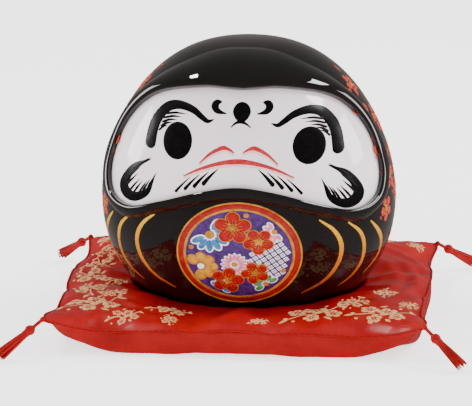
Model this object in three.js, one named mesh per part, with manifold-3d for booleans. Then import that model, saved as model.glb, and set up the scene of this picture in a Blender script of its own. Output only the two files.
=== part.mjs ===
// A glazed daruma doll on its tasselled square cushion.
// Millimetres, +Z up. The doll faces -Y and +X is on the right of someone looking at its face.
// The origin is the middle of the cushion's underside.
import * as THREE from 'three';
import { mergeVertices } from 'three/addons/utils/BufferGeometryUtils.js';
import Module from 'manifold-3d';

const wasm = await Module();
wasm.setup();

// ---- Driving dimensions ---------------------------------------------------------------

const fit_gap = 0.3; // between two pieces that touch
const half_turn = Math.PI;
const quarter_turn = Math.PI / 2;
const round_steps = 40; // facets round the doll and the cushion, a multiple of eight

// The slip-cast body. Heights are measured from the foot.
const doll = {
  radius: 60, // half the width at the widest ring
  depth_ratio: 0.93, // front-to-back over side-to-side
  belly_height: 44, // the widest ring
  crown_height: 64, // from the widest ring to the top
  belly_drop: 54, // how far down the belly's curve would run if the foot didn't cut it
  belly_power: 2.2, // superellipse powers of the two halves of the outline
  crown_rise_power: 1.7,
  crown_reach_power: 2.4,
  wall: 4.5,
  belly_steps: 7,
  crown_steps: 12,
};
const doll_height = doll.belly_height + doll.crown_height;

// The unglazed foot ring under the body, and the hole that the slip was poured out of.
const foot = { outer_radius: 35, inner_radius: 27, recess: 1.5, round: 2, hole_radius: 10 };

// The raised brim of the hood round the face.
const brim = { height: 2.2, start: 4 };

// Half outlines seen from the front, from the top round the right side to the bottom:
// share of the doll's radius to the side, share of its height up.
const face_half = [
  [0, 0.86], [0.25, 0.861], [0.533, 0.831], [0.683, 0.783], [0.81, 0.694], [0.89, 0.593],
  [0.913, 0.509], [0.873, 0.441], [0.737, 0.42], [0.508, 0.46], [0.25, 0.505], [0, 0.526],
];
const brim_half = [
  [0, 0.985], [0.25, 0.975], [0.42, 0.945], [0.7, 0.818], [0.84, 0.689], [0.915, 0.601],
  [0.955, 0.516], [0.935, 0.44], [0.85, 0.385], [0.73, 0.372], [0.508, 0.412],
  [0.25, 0.46], [0, 0.482],
];
const outline_steps = 64;

// The white face sits in a pocket below the body's surface.
const face = { depth: 0.8, thickness: 1.2 };

// The printed roundel on the belly, between the brim and the cushion.
const medallion = { half_width: 25, thickness: 0.5, clear_of_brim: 1.1, clear_of_cushion: 0.9 };

// The soft plug in the casting hole.
const stopper = { head_radius: 13, head_thickness: 1, beyond_floor: 2, taper: 0.6 };

// The square cushion. Its edges pull in between the corners.
const cushion = {
  side: 150,
  seam_height: 14,
  crown: 3, // how far the top rises above the seam
  seat_height: 7, // what the doll's weight leaves of the thickness
  edge_pull: 3,
  fabric: 1,
  lip: 5.5, // from the doll's side to the crown
  edge_power: 3, // how sharply the underside turns up to the seam
  steps: 6, // rings from the crown to the seam
};

// Each tassel, measured along it from the cushion's corner.
const tassel = {
  stand_off: 1, // from the corner to the cord
  cord_radius: 0.8,
  cord_length: 4,
  head_radius: 2,
  head_length: 3.2,
  neck_radius: 1.3,
  neck_length: 1.8,
  binding_thickness: 0.6,
  skirt_radius: 2.5,
  skirt_length: 14,
  above_table: 0.5,
  cord_sides: 8,
  sides: 12,
  head_steps: 6,
};

// ---- Materials ------------------------------------------------------------------------

function finish(color, roughness, metalness = 0) {
  return new THREE.MeshStandardMaterial({ color, roughness, metalness });
}
const finishes = {
  black_glaze: () => finish('#16110f', 0.08),
  white_glaze: () => finish('#ece4e4', 0.12),
  decal: () => finish('#c2321f', 0.15),
  soft_plug: () => finish('#d9d2c4', 0.6),
  brocade: () => finish('#d3161a', 0.5),
  satin: () => finish('#cf140f', 0.38),
  wadding: () => finish('#f1ece0', 0.95),
  silk: () => finish('#cc1512', 0.55),
};

// ---- Solids ---------------------------------------------------------------------------

// A closed mesh with shared corners and without the slivers on a lathe's axis.
function closed(geometry) {
  geometry.deleteAttribute('normal');
  geometry.deleteAttribute('uv');
  const merged = mergeVertices(geometry);
  const corners = merged.index.array;
  const kept = [];
  for (let i = 0; i < corners.length; i += 3) {
    const [a, b, c] = [corners[i], corners[i + 1], corners[i + 2]];
    if (a !== b && b !== c && c !== a) kept.push(a, b, c);
  }
  merged.setIndex(kept);
  return merged;
}

function solid(geometry) {
  const shell = closed(geometry);
  const vertProperties = Float32Array.from(shell.attributes.position.array);
  const triVerts = Uint32Array.from(shell.index.array);
  return new wasm.Manifold(new wasm.Mesh({ numProp: 3, vertProperties, triVerts }));
}

function geometryOf(body) {
  const { vertProperties, triVerts } = body.getMesh();
  const geometry = new THREE.BufferGeometry();
  geometry.setAttribute('position', new THREE.BufferAttribute(vertProperties, 3));
  geometry.setIndex(new THREE.BufferAttribute(triVerts, 1));
  geometry.computeVertexNormals();
  return geometry;
}

// A profile of [radius, height] points turned round the Z axis.
function turned(points, steps) {
  const profile = points.map(([radius, height]) => new THREE.Vector2(radius, height));
  const geometry = new THREE.LatheGeometry(profile, steps);
  geometry.rotateX(quarter_turn);
  return geometry;
}

function named(name, geometry, material) {
  const mesh = new THREE.Mesh(geometry, material);
  mesh.name = name;
  return mesh;
}

// ---- The doll's outline ---------------------------------------------------------------

// turn runs from 0 at the widest ring to a quarter turn at the end of the curve.
// A positive inset lies inside the glazed surface.
function bellyPoint(turn, inset) {
  const share = 2 / doll.belly_power;
  const reach = (doll.radius - inset) * Math.cos(turn) ** share;
  const drop = (doll.belly_drop - inset) * Math.sin(turn) ** share;
  return [reach, doll.belly_height - drop];
}

function crownPoint(turn, inset) {
  const reach = (doll.radius - inset) * Math.cos(turn) ** (2 / doll.crown_reach_power);
  const rise = (doll.crown_height - inset) * Math.sin(turn) ** (2 / doll.crown_rise_power);
  return [reach, doll.belly_height + rise];
}

function bellyTurn(height, inset) {
  const share = (doll.belly_height - height) / (doll.belly_drop - inset);
  return Math.asin(share ** (doll.belly_power / 2));
}

// The curved side from a height near the foot up to the top.
function sideProfile(inset, from_height, belly_steps, crown_steps) {
  const first = bellyTurn(from_height, inset);
  const points = [];
  for (let i = belly_steps; i > 0; i -= 1) points.push(bellyPoint((first * i) / belly_steps, inset));
  for (let i = 0; i < crown_steps; i += 1) {
    points.push(crownPoint((quarter_turn * i) / crown_steps, inset));
  }
  points.push([0, doll_height - inset]);
  return points;
}

function flattened(geometry) {
  return geometry.scale(1, doll.depth_ratio, 1);
}

// The body's shape grown or shrunk by an inset, flat underneath.
function offsetBody(inset) {
  const side = sideProfile(inset, foot.round, doll.belly_steps, doll.crown_steps);
  return solid(flattened(turned([[0, foot.round], ...side], round_steps)));
}

function bodyOuter() {
  const side = sideProfile(0, foot.round, doll.belly_steps, doll.crown_steps);
  const under = [[0, foot.recess], [foot.inner_radius, foot.recess], [foot.inner_radius, 0]];
  const points = [...under, [foot.outer_radius, 0], ...side];
  return solid(flattened(turned(points, round_steps)));
}

// The hollow and the casting hole below it. It is coarser than the outside.
function bodyHollow() {
  const floor = foot.recess + doll.wall;
  const belly_steps = Math.ceil(doll.belly_steps / 2);
  const crown_steps = Math.ceil(doll.crown_steps / 2);
  const side = sideProfile(doll.wall, floor, belly_steps, crown_steps);
  const hole = [[0, -foot.round], [foot.hole_radius, -foot.round], [foot.hole_radius, floor]];
  return solid(flattened(turned([...hole, ...side], round_steps)));
}

// ---- The face, the brim and the roundel -----------------------------------------------

function frontOutline(half, grow) {
  const right = half.map(([side, up]) => [side * doll.radius, up * doll_height]);
  const left = right.slice(1, -1).reverse().map(([x, z]) => [-x, z]);
  const points = [...right, ...left].map(([x, z]) => new THREE.Vector3(x, z, 0));
  const curve = new THREE.CatmullRomCurve3(points, true, 'centripetal');
  const outline = [];
  for (let i = 0; i < outline_steps; i += 1) {
    const at = curve.getPointAt(i / outline_steps);
    const along = curve.getTangentAt(i / outline_steps);
    outline.push(new THREE.Vector2(at.x - along.y * grow, at.y + along.x * grow));
  }
  return new THREE.Shape(outline);
}

// A shape drawn in X and Z, pushed out towards the viewer from a plane just before the axis.
function frontPrism(shape) {
  const depth = doll.radius + brim.height;
  const geometry = new THREE.ExtrudeGeometry(shape, { depth, bevelEnabled: false });
  geometry.rotateX(quarter_turn);
  geometry.translate(0, -brim.start, 0);
  return solid(geometry);
}

function dollShell() {
  const pocket_depth = face.depth + face.thickness + fit_gap;
  const brim_band = offsetBody(-brim.height).intersect(frontPrism(frontOutline(brim_half, 0)));
  const pocket = frontPrism(frontOutline(face_half, 0)).subtract(offsetBody(pocket_depth));
  return bodyOuter().add(brim_band).subtract(pocket).subtract(bodyHollow());
}

function facePanel() {
  const slab = offsetBody(face.depth).subtract(offsetBody(face.depth + face.thickness));
  return slab.intersect(frontPrism(frontOutline(face_half, -fit_gap)));
}

function bellyMedallion() {
  const top = brim_half.at(-1)[1] * doll_height - medallion.clear_of_brim;
  const bottom = cushion.seam_height - cushion.seat_height + medallion.clear_of_cushion;
  const half_height = (top - bottom) / 2;
  const shape = new THREE.Shape();
  shape.absellipse(0, bottom + half_height, medallion.half_width, half_height, 0, 2 * half_turn);
  const skin = offsetBody(-fit_gap - medallion.thickness).subtract(offsetBody(-fit_gap));
  return skin.intersect(frontPrism(shape));
}

function baseStopper() {
  const head_top = foot.recess - fit_gap;
  const shank = foot.hole_radius - fit_gap;
  const end = foot.recess + doll.wall + stopper.beyond_floor;
  const head_foot = head_top - stopper.head_thickness;
  const points = [
    [0, head_foot],
    [stopper.head_radius, head_foot],
    [stopper.head_radius, head_top],
    [shank, head_top],
    [shank - stopper.taper, end - stopper.taper],
    [shank - 2 * stopper.taper, end],
    [0, end],
  ];
  return flattened(turned(points, round_steps));
}

// ---- The cushion ----------------------------------------------------------------------

// The doll's foot presses a seat into the top. These are the seat's floor and its wall, which
// follows the doll's underside up to the height of the seam.
function seatProfile(inset) {
  const floor = cushion.seat_height - inset;
  const first = bellyTurn(foot.round, 0);
  const wall_height = cushion.seam_height - cushion.seat_height;
  const points = [[0, floor], [foot.outer_radius + fit_gap, floor]];
  for (let i = doll.belly_steps; i > 0; i -= 1) {
    const turn = (first * i) / doll.belly_steps;
    if (bellyPoint(turn, 0)[1] >= wall_height) break;
    const [radius, height] = bellyPoint(turn, -fit_gap - inset);
    points.push([radius, cushion.seat_height + fit_gap + height]);
  }
  return points;
}

// Where the crown of the cushion starts, a lip away from the doll's side.
function crownRadius() {
  const rise = cushion.seam_height + cushion.crown - cushion.seat_height;
  return bellyPoint(bellyTurn(rise, 0), 0)[0] + cushion.lip;
}

// Rings from the crown out to the seam. A ring's radius is crownRadius plus its share of the
// way to the seam, which squared() stretches afterwards. An inset moves the last ring inwards.
function rimProfile(inset, heightAt) {
  const rim_width = cushion.side / 2 - cushion.edge_pull - crownRadius();
  const reach = 1 - inset / rim_width;
  const points = [];
  for (let i = 0; i <= cushion.steps; i += 1) {
    const turn = (quarter_turn * i) / cushion.steps;
    const share = reach * Math.sin(turn) ** (1 / cushion.edge_power);
    points.push([crownRadius() + share, heightAt(Math.cos(turn))]);
  }
  return points;
}

// The top's shape, an inset below its outer face.
function topProfile(inset, seam) {
  const crown = cushion.seam_height + cushion.crown - inset - seam;
  return [...seatProfile(inset), ...rimProfile(inset, (share) => seam + crown * share)];
}

// The underside's shape, an inset above its outer face.
function underProfile(inset, seam) {
  return [[0, inset], ...rimProfile(inset, (share) => seam - (seam - inset) * share)];
}

// Stretches the rings past the crown to a square whose edges pull in between the corners.
function squared(geometry) {
  const inner = crownRadius();
  const at = geometry.attributes.position;
  for (let i = 0; i < at.count; i += 1) {
    const [x, y] = [at.getX(i), at.getY(i)];
    const radius = Math.hypot(x, y) || 1;
    const share = Math.max(0, radius - inner);
    const edge = Math.max(Math.abs(x), Math.abs(y)) / radius || 1;
    const pull = cushion.edge_pull * Math.cos(2 * Math.atan2(y, x)) ** 2;
    const reach = (cushion.side / 2 - pull) / edge;
    const scale = (Math.min(radius, inner) + share * (reach - inner)) / radius;
    const depth = doll.depth_ratio + (1 - doll.depth_ratio) * share;
    at.setXY(i, x * scale, y * scale * depth);
  }
  return geometry;
}

// A closed piece between a lower and an upper profile that both run out from the axis.
function cushionPiece(lower, upper) {
  return closed(squared(turned([...lower, ...upper.toReversed()], round_steps)));
}

function topPanel() {
  const seam = cushion.seam_height + fit_gap / 2;
  return cushionPiece(topProfile(cushion.fabric, seam), topProfile(0, seam));
}

function bottomPanel() {
  const seam = cushion.seam_height - fit_gap / 2;
  return cushionPiece(underProfile(0, seam), underProfile(cushion.fabric, seam));
}

function filling() {
  const inset = cushion.fabric + fit_gap;
  const lower = underProfile(inset, cushion.seam_height);
  return cushionPiece(lower.slice(0, -1), topProfile(inset, cushion.seam_height));
}

// ---- The tassels ----------------------------------------------------------------------

// Each piece is turned about the tassel's own axis, which runs along +X from the corner.
function alongTassel(points, sides) {
  return closed(turned(points, sides).rotateY(quarter_turn));
}

const cord_end = tassel.stand_off + tassel.cord_length;
const head_start = cord_end + fit_gap;
const neck_start = head_start + tassel.head_length;
const skirt_start = neck_start + tassel.neck_length;
const tassel_end = skirt_start + tassel.skirt_length;

function tasselCord() {
  const radius = tassel.cord_radius;
  const points = [[0, tassel.stand_off], [radius, tassel.stand_off], [radius, cord_end], [0, cord_end]];
  return alongTassel(points, tassel.cord_sides);
}

// The folded strands: a round head over the cord, a neck, and the skirt.
function tasselSkirt() {
  const head = [];
  for (let i = 0; i < tassel.head_steps; i += 1) {
    const turn = (half_turn * i) / tassel.head_steps;
    const middle = head_start + tassel.head_length / 2;
    const radius = tassel.head_radius * Math.sin(turn);
    const at_neck = turn > quarter_turn ? tassel.neck_radius : 0;
    head.push([Math.max(radius, at_neck), middle - (tassel.head_length / 2) * Math.cos(turn)]);
  }
  const { neck_radius, skirt_radius, skirt_length } = tassel;
  const points = [
    ...head,
    [neck_radius, neck_start],
    [neck_radius, skirt_start],
    [(neck_radius + skirt_radius) / 2, skirt_start + skirt_length / 8],
    [skirt_radius, skirt_start + skirt_length / 2],
    [skirt_radius, tassel_end - neck_radius],
    [neck_radius, tassel_end],
    [0, tassel_end],
  ];
  return alongTassel(points, tassel.sides);
}

// The thread wound round the neck.
function tasselBinding() {
  const inner = tassel.neck_radius + fit_gap;
  const outer = inner + tassel.binding_thickness;
  const [start, end] = [neck_start + fit_gap, skirt_start - fit_gap];
  const points = [[inner, start], [outer, start], [outer, end], [inner, end], [inner, start]];
  return alongTassel(points, tassel.sides);
}

// How far the tassel tips down from level, so that its skirt lies just above the table.
function tasselDroop() {
  const drop = cushion.seam_height - tassel.above_table;
  const span = Math.hypot(tassel_end, tassel.skirt_radius);
  return Math.asin(drop / span) - Math.atan2(tassel.skirt_radius, tassel_end);
}

function tasselAt(place, side_x, side_y) {
  const group = new THREE.Group();
  const corner = cushion.side / 2;
  group.position.set(side_x * corner, side_y * corner, cushion.seam_height);
  group.rotation.set(0, tasselDroop(), Math.atan2(side_y, side_x), 'ZYX');
  group.add(named(`tassel_${place}_cord`, tasselCord(), finishes.silk()));
  group.add(named(`tassel_${place}_binding`, tasselBinding(), finishes.silk()));
  group.add(named(`tassel_${place}_skirt`, tasselSkirt(), finishes.silk()));
  return group;
}

// ---- The assembly ---------------------------------------------------------------------

function buildDoll() {
  const group = new THREE.Group();
  group.position.z = cushion.seat_height + fit_gap;
  group.add(named('doll_shell', geometryOf(dollShell()), finishes.black_glaze()));
  group.add(named('face_panel', geometryOf(facePanel()), finishes.white_glaze()));
  group.add(named('belly_medallion', geometryOf(bellyMedallion()), finishes.decal()));
  group.add(named('base_stopper', closed(baseStopper()), finishes.soft_plug()));
  return group;
}

function buildCushion() {
  const group = new THREE.Group();
  group.add(named('cushion_top_panel', topPanel(), finishes.brocade()));
  group.add(named('cushion_bottom_panel', bottomPanel(), finishes.satin()));
  group.add(named('cushion_filling', filling(), finishes.wadding()));
  group.add(tasselAt('front_left', -1, -1));
  group.add(tasselAt('front_right', 1, -1));
  group.add(tasselAt('back_left', -1, 1));
  group.add(tasselAt('back_right', 1, 1));
  return group;
}

const daruma = new THREE.Group();
daruma.add(buildDoll(), buildCushion());

export default daruma;
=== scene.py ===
"""A glazed daruma doll on a tasselled cushion, modelled in detail over its CAD frame.

The doll's own frame is in millimetres: x to the right of someone who faces it, h above its foot.
"""

import math

import bmesh
import bpy
import numpy as np
from mathutils import Matrix, Vector
from mathutils.bvhtree import BVHTree


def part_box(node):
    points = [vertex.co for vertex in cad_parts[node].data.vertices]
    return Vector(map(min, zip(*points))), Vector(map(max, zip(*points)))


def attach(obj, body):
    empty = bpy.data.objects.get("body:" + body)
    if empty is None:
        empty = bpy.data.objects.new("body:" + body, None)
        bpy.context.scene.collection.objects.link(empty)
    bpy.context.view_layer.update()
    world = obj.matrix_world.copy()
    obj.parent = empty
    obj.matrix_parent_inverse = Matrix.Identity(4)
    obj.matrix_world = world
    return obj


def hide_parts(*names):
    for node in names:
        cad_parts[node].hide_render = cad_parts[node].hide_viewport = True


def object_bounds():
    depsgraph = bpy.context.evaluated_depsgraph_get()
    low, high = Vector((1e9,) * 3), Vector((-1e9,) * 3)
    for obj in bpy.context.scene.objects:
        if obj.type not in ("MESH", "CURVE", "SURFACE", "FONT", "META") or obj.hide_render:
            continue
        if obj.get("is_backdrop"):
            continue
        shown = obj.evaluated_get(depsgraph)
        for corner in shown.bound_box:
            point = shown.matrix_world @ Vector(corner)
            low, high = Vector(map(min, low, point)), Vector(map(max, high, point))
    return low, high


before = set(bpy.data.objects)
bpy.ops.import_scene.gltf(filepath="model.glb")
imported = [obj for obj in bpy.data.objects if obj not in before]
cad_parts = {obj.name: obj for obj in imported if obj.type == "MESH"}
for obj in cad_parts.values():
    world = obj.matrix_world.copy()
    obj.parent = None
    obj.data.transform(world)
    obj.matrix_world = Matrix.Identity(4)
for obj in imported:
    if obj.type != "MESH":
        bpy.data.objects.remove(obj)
cad_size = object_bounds()

MM = 0.001
TURN = 2 * math.pi

# ---- The doll's casting, read off its CAD node ------------------------------------------------

shell_low, shell_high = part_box("doll_shell")
FOOT = shell_low.z / MM
RADIUS = (shell_high.x - shell_low.x) / 2 / MM
DEPTH = shell_high.y / MM / RADIUS
TALL = (shell_high.z - shell_low.z) / MM
BELLY = TALL * 44 / 108
CROWN = TALL - BELLY
DROP = 54
WALL = 4.5
FACE_OUT = -0.9  # the face's surface, below the body's
POCKET = 3.2  # how far the casting lies behind the face


def radius_at(h):
    """The body's half width at a height above its foot."""
    h = np.asarray(h, float)
    rise = np.clip((h - BELLY) / CROWN, 0, 1)
    fall = np.clip((BELLY - h) / DROP, 0, 1)
    upper = (1 - rise**1.7) ** (1 / 2.4)
    lower = (1 - fall**2.2) ** (1 / 2.2)
    return RADIUS * np.where(h >= BELLY, upper, lower)


def lower_height(reach):
    """How high the underside is above the foot, at a distance from the axis."""
    reach = np.clip(np.asarray(reach, float) / RADIUS, 0, 1)
    return BELLY - DROP * (1 - reach**2.2) ** (1 / 2.2)


def lifted(x, y, h, out):
    """Points on the body moved along its normals, in metres."""
    x, y, h, out = (np.asarray(a, float) for a in np.broadcast_arrays(x, y, h, out))
    slope = (radius_at(h + 0.2) - radius_at(h - 0.2)) / 0.4
    slope = np.clip(slope, -40, 40)
    reach = np.maximum(np.hypot(x, y / DEPTH), 1e-6)
    normal = np.stack([x / reach, y / DEPTH**2 / reach, -slope], -1)
    normal /= np.linalg.norm(normal, axis=-1, keepdims=True)
    points = np.stack([x, y, h + FOOT], -1) + normal * out[..., None]
    return points * MM


def front(x, h, out=0.0):
    """Points on the doll's front, seen straight on."""
    x, h = np.asarray(x, float), np.asarray(h, float)
    reach = radius_at(h)
    x = np.clip(x, -reach * 0.999, reach * 0.999)
    return lifted(x, -DEPTH * np.sqrt(reach**2 - x**2), h, out)


def around(turn, h, out=0.0):
    """Points at a turn round the doll, in degrees from its front."""
    turn = np.radians(turn)
    reach = radius_at(h)
    return lifted(reach * np.sin(turn), -DEPTH * reach * np.cos(turn), h, out)


def patch(turn, height, tilt=0.0):
    """A drawing plane laid on the body, centred at a turn and a height."""
    reach = float(radius_at(height))
    slope = float(radius_at(height + 0.5) - radius_at(height - 0.5))
    rise = 1 / math.hypot(1, slope)
    c, s = math.cos(tilt), math.sin(tilt)

    def place(a, b, out=0.0):
        a, b = np.asarray(a, float), np.asarray(b, float)
        return around(turn + np.degrees((a * c - b * s) / reach), height + (a * s + b * c) * rise, out)

    return place


# ---- Mesh helpers -----------------------------------------------------------------------------


def add_mesh(name, points, faces, body, mats, node=None, looks=None):
    """A smooth mesh that rides on a body and may stand for a node. looks gives each face its material."""
    data = bpy.data.meshes.new(name)
    data.from_pydata([tuple(map(float, p)) for p in points], [], [tuple(map(int, f)) for f in faces])
    for mat in mats if isinstance(mats, (list, tuple)) else [mats]:
        data.materials.append(mat)
    if looks is not None:
        data.polygons.foreach_set("material_index", np.asarray(looks, np.int32))
    data.polygons.foreach_set("use_smooth", np.full(len(data.polygons), True))
    bm = bmesh.new()
    bm.from_mesh(data)
    bmesh.ops.recalc_face_normals(bm, faces=bm.faces)
    bm.to_mesh(data)
    bm.free()
    data.update()
    made = bpy.data.objects.new(name, data)
    bpy.context.scene.collection.objects.link(made)
    if body:
        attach(made, body)
    if node:
        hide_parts(node)
    return made


class Pile:
    """Several closed bodies gathered into one mesh."""

    def __init__(self):
        self.points, self.faces, self.looks, self.count = [], [], [], 0

    def add(self, points, faces, look=0):
        points = np.asarray(points, float).reshape(-1, 3)
        self.points.append(points)
        self.faces += [tuple(i + self.count for i in f) for f in faces]
        self.looks += [look] * len(faces)
        self.count += len(points)

    def build(self, name, body, mats, node=None):
        return add_mesh(name, np.concatenate(self.points), self.faces, body, mats, node, self.looks)


def grid_faces(rows, columns, wrap_rows=False, wrap_columns=False):
    """Quads over a grid of rows by columns of points."""
    faces = []
    for i in range(rows if wrap_rows else rows - 1):
        for j in range(columns if wrap_columns else columns - 1):
            k, m = (i + 1) % rows, (j + 1) % columns
            faces.append((i * columns + j, i * columns + m, k * columns + m, k * columns + j))
    return faces


def spline(a, b, c, d, t):
    """The smooth span from b to c, whose neighbours are a and d."""
    return 0.5 * (2 * b + (c - a) * t + (2 * a - 5 * b + 4 * c - d) * t**2 + (3 * b - a - 3 * c + d) * t**3)


def walls(ids, below):
    """Quads from a closed loop of points to the same loop further down the list."""
    return [(a, b, b + below, a + below) for a, b in zip(ids, ids[1:] + ids[:1])]


def curve_through(points, count, closed=False):
    """Evenly spaced points on a smooth line through the given ones. Extra columns ride along."""
    pts = np.asarray(points, float)
    n = len(pts)
    spans = n if closed else n - 1
    fine = []
    for i in range(spans):
        if closed:
            a, b, c, d = (pts[(i + k) % n] for k in (-1, 0, 1, 2))
        else:
            b, c = pts[i], pts[i + 1]
            a = pts[i - 1] if i else 2 * b - c
            d = pts[i + 2] if i + 2 < n else 2 * c - b
        t = np.linspace(0, 1, 24, endpoint=False)[:, None]
        fine.append(spline(a, b, c, d, t))
    fine = np.concatenate(fine + [pts[:1] if closed else pts[-1:]])
    length = np.concatenate([[0], np.cumsum(np.hypot(*(np.diff(fine[:, :2], axis=0).T)))])
    at = np.linspace(0, length[-1], count, endpoint=not closed)
    return np.stack([np.interp(at, length, fine[:, k]) for k in range(fine.shape[1])], -1)


def slab_from(rings, place, base, lift, thick):
    """Rings of flat points, inner to outer, as a thin raised layer of glaze with a rounded edge."""
    n = len(rings[0])
    middle = rings[0].mean(axis=0)
    tops = [place(r[:, 0], r[:, 1], base + lift) for r in rings[:-1]]
    edge = place(rings[-1][:, 0], rings[-1][:, 1], base + lift * 0.45)
    under = place(rings[-1][:, 0], rings[-1][:, 1], base - thick)
    points = [place(middle[0], middle[1], base + lift)[None], *tops, edge, under]
    points.append(place(middle[0], middle[1], base - thick)[None])
    faces = [(0, 1 + j, 1 + (j + 1) % n) for j in range(n)]
    for i in range(len(rings)):
        for j in range(n):
            a, b = 1 + i * n + j, 1 + i * n + (j + 1) % n
            faces.append((a, b, b + n, a + n))
    last = 1 + len(rings) * n
    faces += [(last + j, last + n, last + (j + 1) % n) for j in range(n)]
    return np.concatenate(points), faces


def blob(pile, outline, place, base, lift=0.08, thick=0.06, look=0, count=None, step=1.3, smooth_line=True):
    """A filled patch of glaze inside a closed outline that its middle sees all of."""
    outline = np.asarray(outline, float)
    span = float(np.ptp(outline, axis=0).max())
    count = count or int(np.clip(span * 5, 20, 96))
    line = curve_through(outline, count, True) if smooth_line else outline
    middle = line.mean(axis=0)
    rings = max(2, int(span / 2 / step) + 1)
    shares = [*np.linspace(1 / rings, 1 - 0.5 / rings, rings), 1.0]
    if span > 1.5:
        shares[-2] = 1 - 0.35 / span
    pile.add(*slab_from([middle + (line - middle) * s for s in shares], place, base, lift, thick), look)


def disc(pile, x, h, wide, tall, place, base, lift=0.08, thick=0.06, look=0, lean=0.0, point=0.0, count=28):
    """An oval patch that may lean or draw to a point below."""
    t = np.linspace(0, TURN, count, endpoint=False)
    a, b = wide / 2 * np.cos(t), tall / 2 * np.sin(t)
    a = a * (1 - point * np.clip(-np.sin(t), 0, 1))
    c, s = math.cos(lean), math.sin(lean)
    line = np.stack([x + a * c - b * s, h + a * s + b * c], -1)
    blob(pile, line, place, base, lift, thick, look, count, smooth_line=False)


def stroke(pile, points, place, base, lift=0.08, thick=0.06, look=0, step=0.55):
    """A brush stroke. Each point is (x, h, width)."""
    pts = np.asarray(points, float)
    length = float(np.hypot(*np.diff(pts[:, :2], axis=0).T).sum())
    n = int(np.clip(length / step, 6, 70))
    line = curve_through(pts, n)
    along = np.gradient(line[:, :2], axis=0)
    along /= np.maximum(np.linalg.norm(along, axis=1, keepdims=True), 1e-9)
    across = np.stack([-along[:, 1], along[:, 0]], -1)
    half = np.maximum(line[:, 2], 0.05) / 2
    shares = np.array([-1, -0.8, 0, 0.8, 1])
    spots = line[:, None, :2] + across[:, None] * half[:, None, None] * shares[None, :, None]
    rise = base + lift * np.array([0.4, 1, 1, 1, 0.4])
    ends = np.ones(n)
    ends[0] = ends[-1] = 0.4
    tops = place(spots[..., 0], spots[..., 1], base + (rise - base)[None] * ends[:, None])
    unders = place(spots[..., 0], spots[..., 1], base - thick)
    across_count = len(shares)
    points = np.concatenate([tops.reshape(-1, 3), unders.reshape(-1, 3)])
    faces = grid_faces(n, across_count)
    m = n * across_count
    faces += [tuple(i + m for i in reversed(f)) for f in faces]
    rim = [(i, 0) for i in range(n)] + [(n - 1, j) for j in range(1, across_count)]
    rim += [(i, across_count - 1) for i in range(n - 2, -1, -1)]
    rim += [(0, j) for j in range(across_count - 2, 0, -1)]
    ids = [i * across_count + j for i, j in rim]
    faces += walls(ids, m)
    pile.add(points, faces, look)


def lathe(pile, profile, steps, squeeze=1.0, centre=(0, 0), look=0):
    """A closed turned body from (radius, height) points that start and end on its axis."""
    profile = np.asarray(profile, float)
    inner = profile[1:-1]
    t = np.linspace(0, TURN, steps, endpoint=False)
    x = centre[0] + inner[:, :1] * np.cos(t)
    y = centre[1] + squeeze * inner[:, :1] * np.sin(t)
    z = np.repeat(inner[:, 1:], steps, axis=1)
    points = np.stack([x, y, z], -1).reshape(-1, 3)
    first = [[centre[0], centre[1], profile[0, 1]]]
    last = [[centre[0], centre[1], profile[-1, 1]]]
    points = np.concatenate([points, first, last]) * MM
    n = len(inner)
    faces = grid_faces(n, steps, wrap_columns=True)
    a, b = n * steps, n * steps + 1
    faces += [(a, (j + 1) % steps, j) for j in range(steps)]
    faces += [(b, (n - 1) * steps + j, (n - 1) * steps + (j + 1) % steps) for j in range(steps)]
    pile.add(points, faces, look)


def rope(line, radius, around_count=8, closed=False):
    """A closed tube along a line of points, all in metres."""
    line = np.asarray(line, float)
    n = len(line)
    radius = np.broadcast_to(radius, n)
    if closed:
        along = np.roll(line, -1, 0) - np.roll(line, 1, 0)
    else:
        along = np.gradient(line, axis=0)
    along /= np.maximum(np.linalg.norm(along, axis=1, keepdims=True), 1e-12)
    helper = np.array([0, 0, 1.0]) if abs(along[:, 2]).mean() < 0.8 else np.array([1.0, 0, 0])
    side = np.cross(along, helper)
    side /= np.maximum(np.linalg.norm(side, axis=1, keepdims=True), 1e-12)
    over = np.cross(side, along)
    t = np.linspace(0, TURN, around_count, endpoint=False)
    ring = side[:, None] * np.cos(t)[None, :, None] + over[:, None] * np.sin(t)[None, :, None]
    points = (line[:, None] + ring * radius[:, None, None]).reshape(-1, 3)
    faces = grid_faces(n, around_count, wrap_rows=closed, wrap_columns=True)
    if not closed:
        faces.append(tuple(range(around_count)))
        faces.append(tuple((n - 1) * around_count + j for j in reversed(range(around_count))))
    return points, faces


# ---- Finishes ---------------------------------------------------------------------------------


def linear(red, green, blue):
    """A screen colour from 0 to 255 as linear light."""
    shares = [c / 255 for c in (red, green, blue)]
    return tuple(c / 12.92 if c < 0.0392 else ((c + 0.055) / 1.055) ** 2.4 for c in shares) + (1.0,)


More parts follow.
